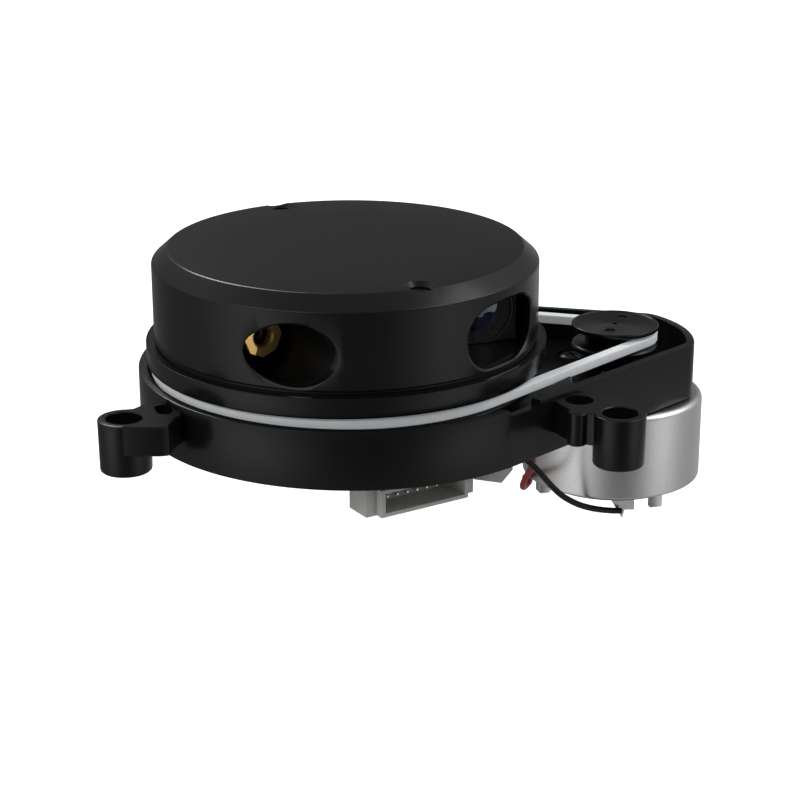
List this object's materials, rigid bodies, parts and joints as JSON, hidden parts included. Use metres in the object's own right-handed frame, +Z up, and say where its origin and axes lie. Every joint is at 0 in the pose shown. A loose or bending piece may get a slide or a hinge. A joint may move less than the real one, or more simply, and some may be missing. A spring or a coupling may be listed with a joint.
{
  "type": "lidar scanner module",
  "caption": "Belt-driven laser scanner: a round spinning head with two optical windows on a ring base whose tail carries the drive motor and pulley.",
  "frame": {"origin": "on the head's spin axis, in the plane of the three mounting feet", "axes": "+Z up along the spin axis; +X towards the drive motor; the optical windows look along -Y at rest"},
  "size_m": [0.1112, 0.0816, 0.0515],
  "materials": {
    "black_plastic": "satin moulded",
    "dark_plastic": "matte moulded",
    "belt_rubber": "smooth",
    "connector_plastic": "satin moulded",
    "motor_steel": "satin plated, fine grain",
    "steel": "bright",
    "tin": "tin plated",
    "brass": "turned",
    "board": "solder mask",
    "ferrite": "sintered",
    "copper": "wound wire on laminations",
    "glass": "coated",
    "red_sleeve": "extruded",
    "black_sleeve": "extruded"
  },
  "bodies": {
    "base": {"base_housing": "black_plastic", "encoder_ring": "black_plastic", "base_board": "board", "board_screw_1": "steel", "board_screw_2": "steel", "board_screw_3": "steel", "link_receiver": "glass", "main_connector": "connector_plastic", "connector_pin_1": "tin", "connector_pin_2": "tin", "connector_pin_3": "tin", "connector_pin_4": "tin", "connector_pin_5": "tin", "connector_pin_6": "tin", "connector_pin_7": "tin", "connector_pin_8": "tin", "motor_header": "connector_plastic", "motor_plug": "connector_plastic", "black_lead": "black_sleeve", "red_lead": "red_sleeve", "motor_can": "motor_steel", "motor_end_cap": "dark_plastic", "motor_magnet_1": "ferrite", "motor_magnet_2": "ferrite", "motor_terminal_black": "tin", "motor_terminal_red": "tin", "motor_bush_upper": "brass", "motor_bush_lower": "brass", "motor_screw_1": "steel", "motor_screw_2": "steel", "drive_belt": "belt_rubber", "bearing_inner_race": "steel", "bearing_clip": "steel", "power_coil_fixed": "ferrite"},
    "head": {"head_base": "black_plastic", "head_cover": "black_plastic", "cover_screw_1": "steel", "cover_screw_2": "steel", "head_board": "board", "head_board_screw_1": "steel", "head_board_screw_2": "steel", "bearing_outer_race": "steel", "power_coil_turning": "ferrite", "link_beacon": "glass", "index_sensor": "dark_plastic", "laser_mount": "dark_plastic", "laser_barrel": "brass", "laser_lens": "glass", "laser_diode": "brass", "lens_holder": "dark_plastic", "lens_barrel": "dark_plastic", "lens_glass": "glass", "rear_lens": "glass", "image_sensor": "ferrite", "camera_board": "board"},
    "motor_rotor": {"motor_shaft": "steel", "motor_armature": "copper", "motor_commutator": "brass", "drive_pulley": "black_plastic"},
    "ball_cage": {"bearing_balls": "steel"}
  },
  "joints": [
    {"name": "head_spin", "type": "hinge", "parent": "base", "child": "head", "pos_m": [0, 0, 0.0085], "axis": [0, 0, 1], "continuous": true},
    {"name": "motor_spin", "type": "hinge", "parent": "base", "child": "motor_rotor", "pos_m": [0.0496, 0, 0], "axis": [0, 0, 1], "continuous": true},
    {"name": "cage_spin", "type": "hinge", "parent": "base", "child": "ball_cage", "pos_m": [0, 0, 0.0085], "axis": [0, 0, 1], "continuous": true}
  ],
  "couplings": [
    {"joint": "motor_spin", "follows": "head_spin", "ratio": 4.924},
    {"joint": "cage_spin", "follows": "head_spin", "ratio": 0.551}
  ]
}
